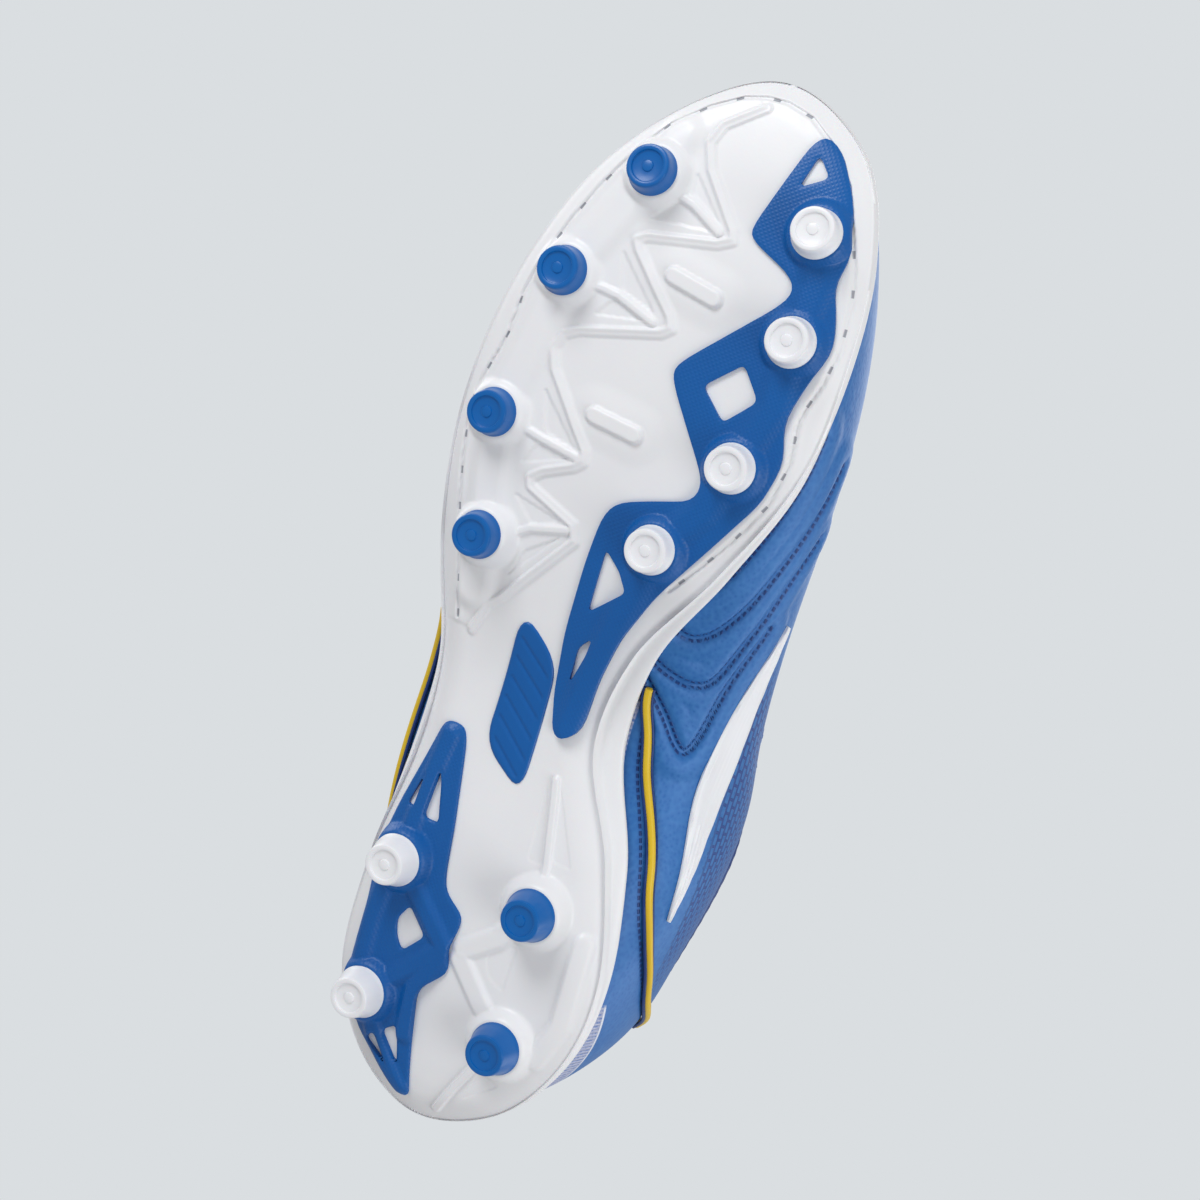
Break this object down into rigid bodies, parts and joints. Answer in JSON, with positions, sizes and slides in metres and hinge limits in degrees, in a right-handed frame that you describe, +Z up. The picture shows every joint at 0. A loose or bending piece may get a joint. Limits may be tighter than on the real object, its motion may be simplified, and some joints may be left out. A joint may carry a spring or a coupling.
{
  "type": "football boot",
  "caption": "Right football boot with a moulded plastic sole plate, tapered studs, coloured sole inserts, quilted low-cut upper, laced throat and removable sockliner.",
  "frame": {"origin": "on the ground plane under the middle of the boot's box, the boot standing on its stud tips", "axes": "+X to the toe, +Y to the medial side of this right boot, +Z up"},
  "size_m": [0.2922, 0.0976, 0.112],
  "materials": {
    "white_tpu": "moulded satin TPU",
    "blue_tpu": "moulded TPU with a fine texture",
    "white_stud_tpu": "moulded TPU",
    "blue_stud_tpu": "moulded TPU",
    "fibre_board": "needled fibre",
    "sockliner_foam": "textile over EVA foam",
    "blue_synthetic_leather": "pearl synthetic leather, quilted",
    "grey_rib_knit": "ribbed grey textile",
    "navy_trim": "smooth synthetic leather",
    "collar_mesh": "padded mesh",
    "lining_textile": "knit lining",
    "stiffener_board": "stiffener board",
    "tongue_mesh": "padded mesh",
    "lace_polyester": "woven flat lace",
    "yellow_piping": "satin piping",
    "white_film": "ribbed welded film"
  },
  "bodies": {
    "boot": {"outsole_plate": "white_tpu", "forefoot_insert": "blue_tpu", "heel_insert": "blue_tpu", "arch_badge": "blue_tpu", "stud_lateral_front": "blue_stud_tpu", "stud_lateral_second": "blue_stud_tpu", "stud_lateral_third": "blue_stud_tpu", "stud_lateral_rear": "blue_stud_tpu", "stud_medial_front": "white_stud_tpu", "stud_medial_second": "white_stud_tpu", "stud_medial_third": "white_stud_tpu", "stud_medial_rear": "white_stud_tpu", "stud_heel_lateral_front": "white_stud_tpu", "stud_heel_lateral_rear": "white_stud_tpu", "stud_heel_medial_front": "blue_stud_tpu", "stud_heel_medial_rear": "blue_stud_tpu", "lasting_board": "fibre_board", "vamp": "blue_synthetic_leather", "medial_quarter": "blue_synthetic_leather", "lateral_quarter": "blue_synthetic_leather", "rear_panel_medial": "blue_synthetic_leather", "rear_panel_lateral": "blue_synthetic_leather", "heel_strip": "grey_rib_knit", "eyestay_lateral": "navy_trim", "eyestay_medial": "navy_trim", "collar_pad": "collar_mesh", "collar_binding": "collar_mesh", "lining_front": "lining_textile", "lining_rear": "lining_textile", "toe_puff": "stiffener_board", "heel_counter": "stiffener_board", "lace": "lace_polyester", "piping_medial": "yellow_piping", "piping_lateral": "yellow_piping", "side_stripe_medial": "white_film", "side_stripe_lateral": "white_film"},
    "tongue": {"tongue": "tongue_mesh"},
    "sockliner": {"sockliner": "sockliner_foam"}
  },
  "joints": [
    {"name": "tongue_tilt", "type": "hinge", "parent": "boot", "child": "tongue", "pos_m": [0.0593, 0.0075, 0.052], "axis": [0, -1, 0], "range_deg": [0, 8], "stiffness_Nm_per_rad": 1},
    {"name": "sockliner_lift", "type": "hinge", "parent": "boot", "child": "sockliner", "pos_m": [0.1353, 0.0069, 0.023], "axis": [0, 1, 0], "range_deg": [0, 3]}
  ]
}
